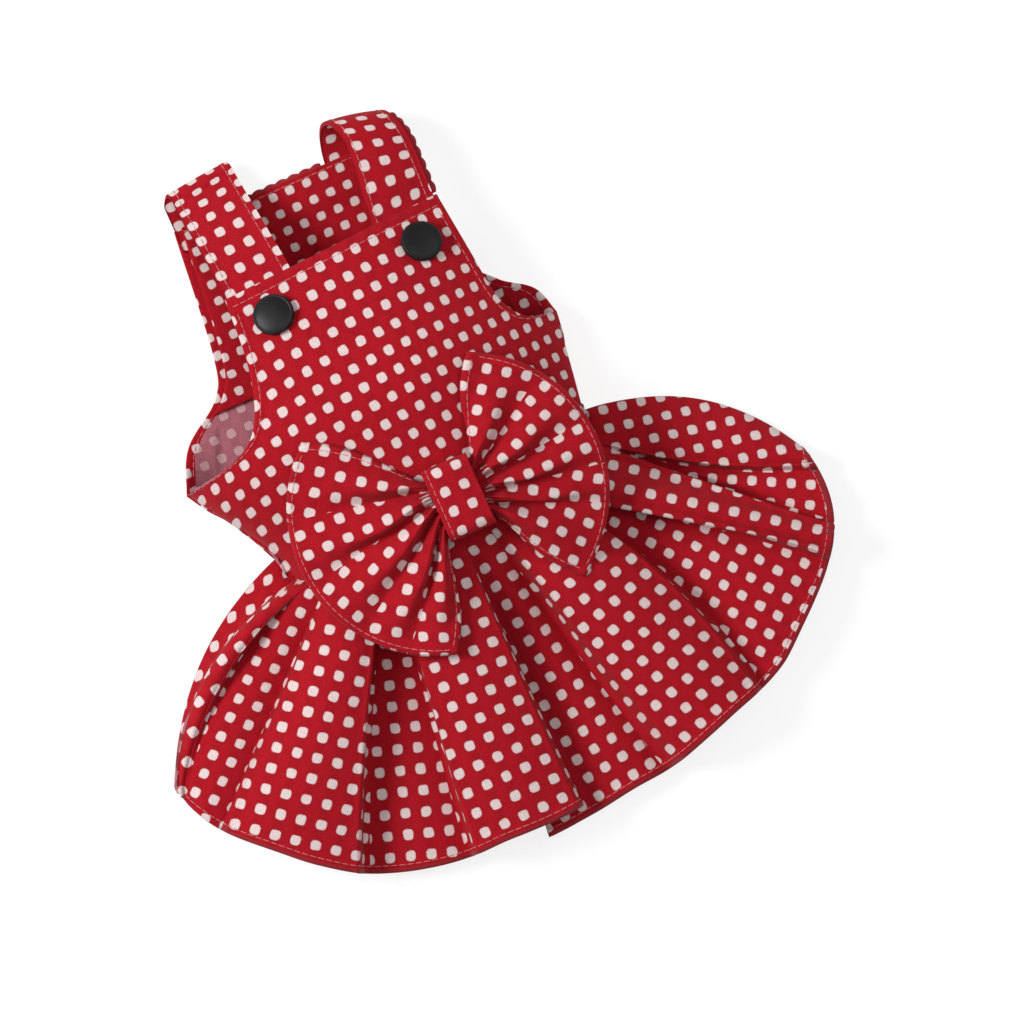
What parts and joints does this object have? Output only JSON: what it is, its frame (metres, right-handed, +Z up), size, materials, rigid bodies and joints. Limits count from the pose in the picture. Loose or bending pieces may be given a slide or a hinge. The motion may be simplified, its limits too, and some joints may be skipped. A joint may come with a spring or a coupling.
{
  "type": "dog dress",
  "caption": "Small dog's sleeveless pinafore dress in dotted cotton, lying on its back, with a buttoned bib, a gathered bow at the waist and a pleated skirt.",
  "frame": {"origin": "underside of the back panel at the waist, on the surface that the dress lies on", "axes": "+Z up from that surface, +Y from the hem to the neck, +X to the right seen from above the bib"},
  "size_m": [0.2586, 0.2669, 0.0516],
  "materials": {
    "red_dotted_cotton": "matt cotton with off-white woven dots",
    "cotton_wrong_side": "matt wrong side of the same cotton, paler",
    "red_plain_edging": "plain matt edging, scalloped",
    "black_button": "satin"
  },
  "bodies": {
    "root": {"bodice_front": "red_dotted_cotton", "bodice_back": "cotton_wrong_side", "back_facing": "red_dotted_cotton", "strap_left": "red_dotted_cotton", "strap_right": "red_dotted_cotton", "neck_edging": "red_plain_edging", "strap_edging": "red_plain_edging", "skirt_front_left": "red_dotted_cotton", "skirt_front_right": "red_dotted_cotton", "skirt_back": "cotton_wrong_side", "bow_wings": "red_dotted_cotton", "bow_knot": "red_dotted_cotton", "button_left": "black_button", "button_right": "black_button"}
  },
  "joints": []
}
